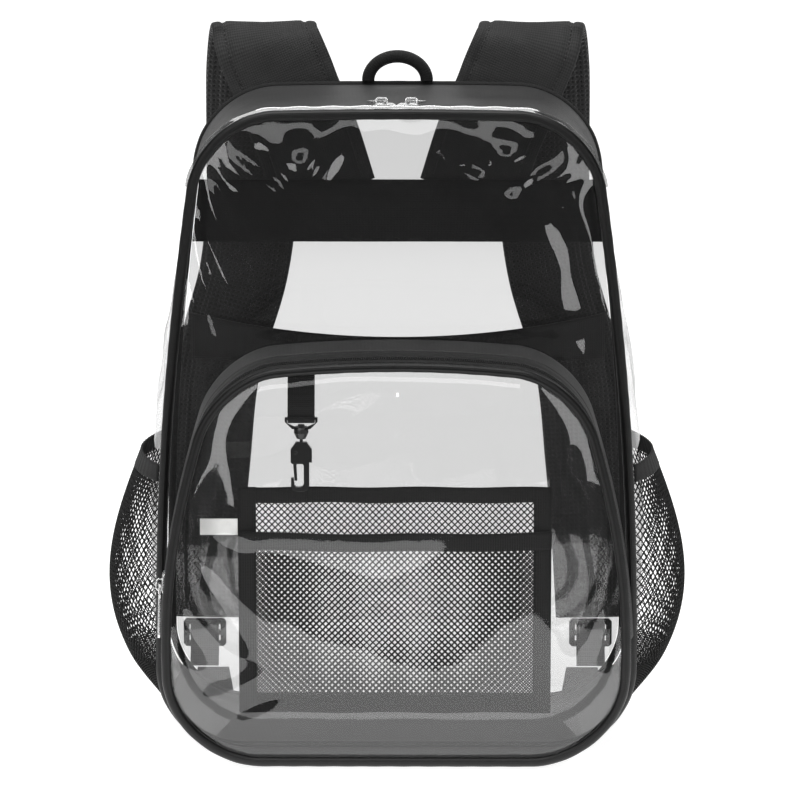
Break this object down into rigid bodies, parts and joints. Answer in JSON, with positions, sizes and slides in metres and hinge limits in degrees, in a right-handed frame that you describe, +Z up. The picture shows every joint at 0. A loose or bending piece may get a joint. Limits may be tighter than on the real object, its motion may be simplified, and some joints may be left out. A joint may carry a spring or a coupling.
{
  "type": "clear stadium backpack",
  "caption": "See-through backpack with black piping, arched front pocket, net side pockets, inner organizer with swivel hook, grab loop and padded straps.",
  "frame": {"origin": "middle of the bounding box's footprint, on the ground", "axes": "+X to the right as seen from the front, +Y from the front pocket to the back panel, +Z up"},
  "size_m": [0.3926, 0.229, 0.4775],
  "materials": {
    "clear_pvc": "clear flexible vinyl sheet, glossy",
    "piping": "black woven piping over cord",
    "nylon": "black oxford nylon, fine weave",
    "padded_nylon": "black nylon over foam, air mesh inside",
    "zipper_tape": "black tape with nylon coil",
    "webbing": "black woven webbing, matte",
    "net": "black diamond net, see-through",
    "label": "white satin tag, blank",
    "black_plastic": "moulded acetal, satin",
    "zip_metal": "bright plated zinc"
  },
  "bodies": {
    "bag": {"front_panel": "clear_pvc", "front_piping": "piping", "back_panel": "clear_pvc", "back_binding": "piping", "side_gusset_right": "clear_pvc", "side_gusset_left": "clear_pvc", "bottom_panel": "nylon", "zip_strip": "clear_pvc", "main_zipper": "zipper_tape", "top_gusset": "nylon", "pocket_zipper": "zipper_tape", "pocket_gusset": "nylon", "pocket_side_right": "clear_pvc", "pocket_side_left": "clear_pvc", "pocket_bottom": "nylon", "pocket_panel": "clear_pvc", "pocket_piping": "piping", "back_band": "webbing", "sleeve_panel": "clear_pvc", "sleeve_band": "webbing", "side_pocket_right": "net", "side_pocket_band_right": "webbing", "side_pocket_left": "net", "side_pocket_band_left": "webbing", "organizer_frame": "webbing", "organizer_back": "net", "organizer_front": "net", "organizer_band": "webbing", "label_tag": "label", "key_strap": "webbing", "key_eye": "black_plastic", "slider_right": "zip_metal", "slider_left": "zip_metal", "pocket_slider": "zip_metal", "shoulder_strap_right": "padded_nylon", "ladder_lock_right": "black_plastic", "strap_anchor_right": "webbing", "strap_webbing_right": "webbing", "shoulder_strap_left": "padded_nylon", "ladder_lock_left": "black_plastic", "strap_anchor_left": "webbing", "strap_webbing_left": "webbing", "haul_handle": "webbing"},
    "swivel_hook": {"key_hook": "black_plastic"},
    "gate": {"hook_gate": "black_plastic"},
    "pull_right_body": {"pull_right": "zip_metal"},
    "pull_left_body": {"pull_left": "zip_metal"},
    "pocket_pull_body": {"pocket_pull": "zip_metal"}
  },
  "joints": [
    {"name": "hook_swivel", "type": "hinge", "parent": "bag", "child": "swivel_hook", "pos_m": [-0.0625, -0.07802, 0.22], "axis": [0, 0, 1], "continuous": true},
    {"name": "gate_hinge", "type": "hinge", "parent": "swivel_hook", "child": "gate", "pos_m": [-0.0661, -0.07802, 0.20775], "axis": [0, -1, 0], "range_deg": [0, 13], "stiffness_Nm_per_rad": 0.004, "springref_deg": -8.59},
    {"name": "pull_right_hinge", "type": "hinge", "parent": "bag", "child": "pull_right_body", "pos_m": [0.00979, -0.04516, 0.43565], "axis": [0.866, -0.4993, -0.0256], "range_deg": [0, 180]},
    {"name": "pull_left_hinge", "type": "hinge", "parent": "bag", "child": "pull_left_body", "pos_m": [-0.00979, -0.04516, 0.43565], "axis": [0.866, 0.4993, 0.0256], "range_deg": [0, 180]},
    {"name": "pocket_pull_hinge", "type": "hinge", "parent": "bag", "child": "pocket_pull_body", "pos_m": [-0.15555, -0.09616, 0.12251], "axis": [-0.1354, 0.9907, 0.0136], "range_deg": [0, 180]}
  ]
}
